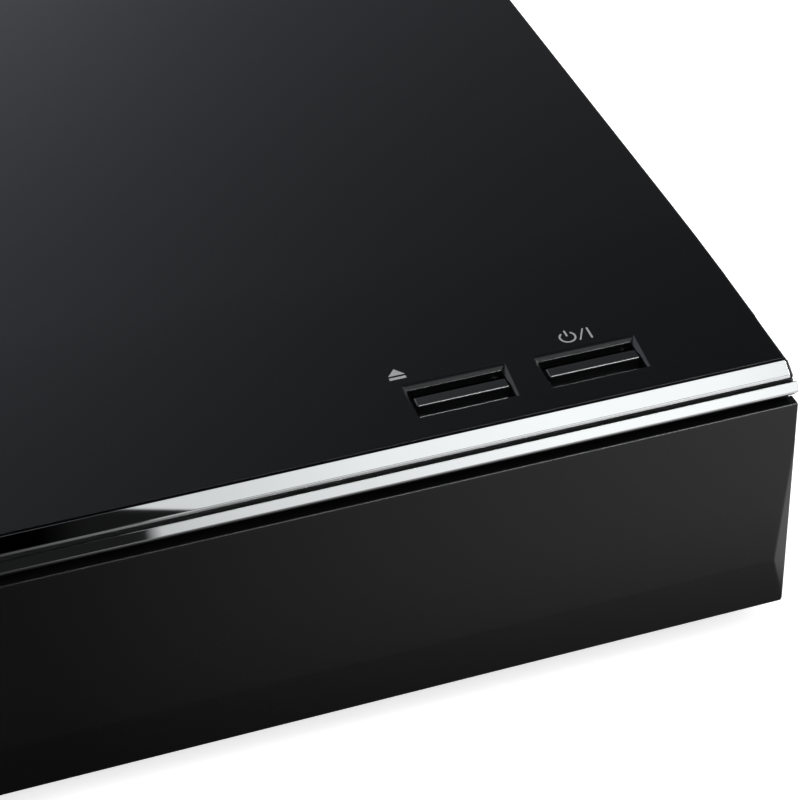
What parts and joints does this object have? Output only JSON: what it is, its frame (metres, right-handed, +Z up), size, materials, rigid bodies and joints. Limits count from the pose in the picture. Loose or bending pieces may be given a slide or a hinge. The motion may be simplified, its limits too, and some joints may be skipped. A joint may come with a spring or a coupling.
{
  "type": "disc player",
  "caption": "Full-width disc player with a drop-down front door over a motor-driven disc tray, two keys on top, and sockets and a fan at the back.",
  "frame": {"origin": "on the table under the middle of the player's bounding box", "axes": "+X to the player's right seen from the front, +Y to its back, +Z up"},
  "size_m": [0.43, 0.207, 0.059],
  "materials": {
    "cover_plastic": "glossy near-black",
    "base_steel": "black, lightly textured",
    "rear_steel": "black, lightly textured",
    "fascia_plastic": "matte black",
    "door_plastic": "satin-gloss charcoal",
    "bright_steel": "plain steel",
    "trim_chrome": "polished",
    "foot_rubber": "matte black",
    "button_plastic": "glossy black",
    "circuit_board": "green solder mask",
    "switch_plastic": "black",
    "smoked_window": "clear, smoked",
    "tube_glass": "dark glass",
    "socket_metal": "nickel-plated",
    "frame_plastic": "matte black",
    "tray_plastic": "fine-grained dark grey",
    "gear_plastic": "cream",
    "motor_steel": "plain steel",
    "belt_rubber": "matte black",
    "cam_plastic": "grey",
    "traverse_plastic": "matte black",
    "turntable_plastic": "dark grey",
    "pickup_metal": "die-cast",
    "lens_glass": "coated",
    "bridge_steel": "zinc-plated sheet",
    "clamper_plastic": "off-white",
    "grommet_rubber": "matte black",
    "zinc_screws": "zinc-plated",
    "black_screws": "blackened",
    "chip_plastic": "black epoxy",
    "sink_aluminium": "extruded",
    "capacitor_sleeve": "sleeved",
    "connector_plastic": "white nylon",
    "power_circuit_board": "tan laminate",
    "transformer_body": "taped",
    "socket_plastic": "black",
    "jack_metal": "plated",
    "collar_plastic": "coloured",
    "fan_plastic": "black",
    "ribbon_plastic": "white flat cable",
    "harness_plastic": "sleeved wires"
  },
  "bodies": {
    "casing": {"top_cover": "cover_plastic", "chassis_base": "base_steel", "rear_panel": "rear_steel", "front_fascia": "fascia_plastic", "door_hinge_pins": "bright_steel", "upper_trim": "trim_chrome", "lower_trim": "trim_chrome", "feet": "foot_rubber", "button_board": "circuit_board", "button_switches": "switch_plastic", "display_window": "smoked_window", "display_tube": "tube_glass", "display_board": "circuit_board", "front_usb_port": "socket_metal", "usb_board": "circuit_board", "drive_frame": "frame_plastic", "loading_motor": "motor_steel", "loading_belt": "belt_rubber", "clamp_bridge": "bridge_steel", "drive_grommets": "grommet_rubber", "inner_screws": "zinc_screws", "casing_screws": "black_screws", "main_board": "circuit_board", "board_chips": "chip_plastic", "heat_sink": "sink_aluminium", "capacitors": "capacitor_sleeve", "board_connectors": "connector_plastic", "power_board": "power_circuit_board", "power_transformer": "transformer_body", "mains_inlet": "socket_plastic", "inlet_contacts": "bright_steel", "optical_port": "socket_plastic", "hdmi_ports": "socket_metal", "lan_port": "socket_metal", "audio_jack_block": "socket_plastic", "audio_jack_rings": "jack_metal", "jack_collars": "collar_plastic", "fan_frame": "fan_plastic", "front_ribbon_cable": "ribbon_plastic", "wiring_harness": "harness_plastic"},
    "door": {"front_door": "door_plastic"},
    "tray": {"disc_tray": "tray_plastic", "tray_lid": "door_plastic"},
    "rack_gear": {"drive_gear": "gear_plastic"},
    "belt_gear": {"pulley_gear": "gear_plastic"},
    "motor_wheel": {"motor_pulley": "gear_plastic"},
    "cam": {"lift_cam": "cam_plastic"},
    "traverse": {"traverse_frame": "traverse_plastic", "spindle_motor": "motor_steel", "guide_rods": "bright_steel", "sled_motor": "motor_steel"},
    "disc_table": {"turntable": "turntable_plastic"},
    "sled": {"optical_pickup": "pickup_metal", "pickup_lens": "lens_glass"},
    "screw": {"lead_screw": "bright_steel"},
    "clamp": {"clamper": "clamper_plastic"},
    "open_close_key": {"open_close_button": "button_plastic"},
    "power_key": {"power_button": "button_plastic"},
    "fan_wheel": {"fan_rotor": "fan_plastic"}
  },
  "joints": [
    {"name": "door_hinge", "type": "hinge", "parent": "casing", "child": "door", "pos_m": [0, -0.0964, 0.0095], "axis": [1, 0, 0], "range_deg": [0, 90]},
    {"name": "tray_slide", "type": "slide", "parent": "casing", "child": "tray", "axis": [0, -1, 0], "range_m": [0, 0.14]},
    {"name": "rack_gear_spin", "type": "hinge", "parent": "casing", "child": "rack_gear", "pos_m": [-0.04675, -0.0755, 0.031], "axis": [0, 0, 1], "range_deg": [0, 668.51]},
    {"name": "belt_gear_spin", "type": "hinge", "parent": "casing", "child": "belt_gear", "pos_m": [-0.02595, -0.0755, 0.0248], "axis": [0, 0, 1], "range_deg": [-2228.22, 0]},
    {"name": "motor_wheel_spin", "type": "hinge", "parent": "casing", "child": "motor_wheel", "pos_m": [0.01855, -0.0795, 0.0248], "axis": [0, 0, 1], "range_deg": [-8046.22, 0]},
    {"name": "traverse_lift", "type": "hinge", "parent": "casing", "child": "traverse", "pos_m": [0, 0.062, 0.0235], "axis": [-1, 0, 0], "range_deg": [0, 5.22]},
    {"name": "cam_slide", "type": "slide", "parent": "casing", "child": "cam", "axis": [1, 0, 0], "range_m": [0, 0.02]},
    {"name": "disc_spin", "type": "hinge", "parent": "traverse", "child": "disc_table", "pos_m": [0, -0.03239, 0.03004], "axis": [0, -0.091, 0.9959], "continuous": true},
    {"name": "sled_slide", "type": "slide", "parent": "traverse", "child": "sled", "axis": [0, 0.9959, 0.091], "range_m": [0, 0.034]},
    {"name": "screw_spin", "type": "hinge", "parent": "traverse", "child": "screw", "pos_m": [0.0335, -0.01964, 0.02237], "axis": [0, 0.9959, 0.091], "range_deg": [0, 4080.05]},
    {"name": "clamp_spin", "type": "hinge", "parent": "casing", "child": "clamp", "pos_m": [0, -0.0314, 0.0427], "axis": [0, 0, 1], "continuous": true},
    {"name": "open_close_press", "type": "slide", "parent": "casing", "child": "open_close_key", "axis": [0, 0, -1], "range_m": [0, 0.0004], "stiffness_N_per_m": 1500, "springref_m": -0.0004},
    {"name": "power_press", "type": "slide", "parent": "casing", "child": "power_key", "axis": [0, 0, -1], "range_m": [0, 0.0004], "stiffness_N_per_m": 1500, "springref_m": -0.0004},
    {"name": "fan_spin", "type": "hinge", "parent": "casing", "child": "fan_wheel", "pos_m": [-0.1097, 0.0847, 0.0318], "axis": [0, 1, 0], "continuous": true}
  ],
  "couplings": [
    {"joint": "rack_gear_spin", "follows": "tray_slide", "rad_per_m": 83.333},
    {"joint": "belt_gear_spin", "follows": "tray_slide", "rad_per_m": -277.78},
    {"joint": "motor_wheel_spin", "follows": "tray_slide", "rad_per_m": -1003.1},
    {"joint": "cam_slide", "follows": "traverse_lift", "m_per_rad": 0.21946},
    {"joint": "screw_spin", "follows": "sled_slide", "rad_per_m": 2094.4}
  ]
}
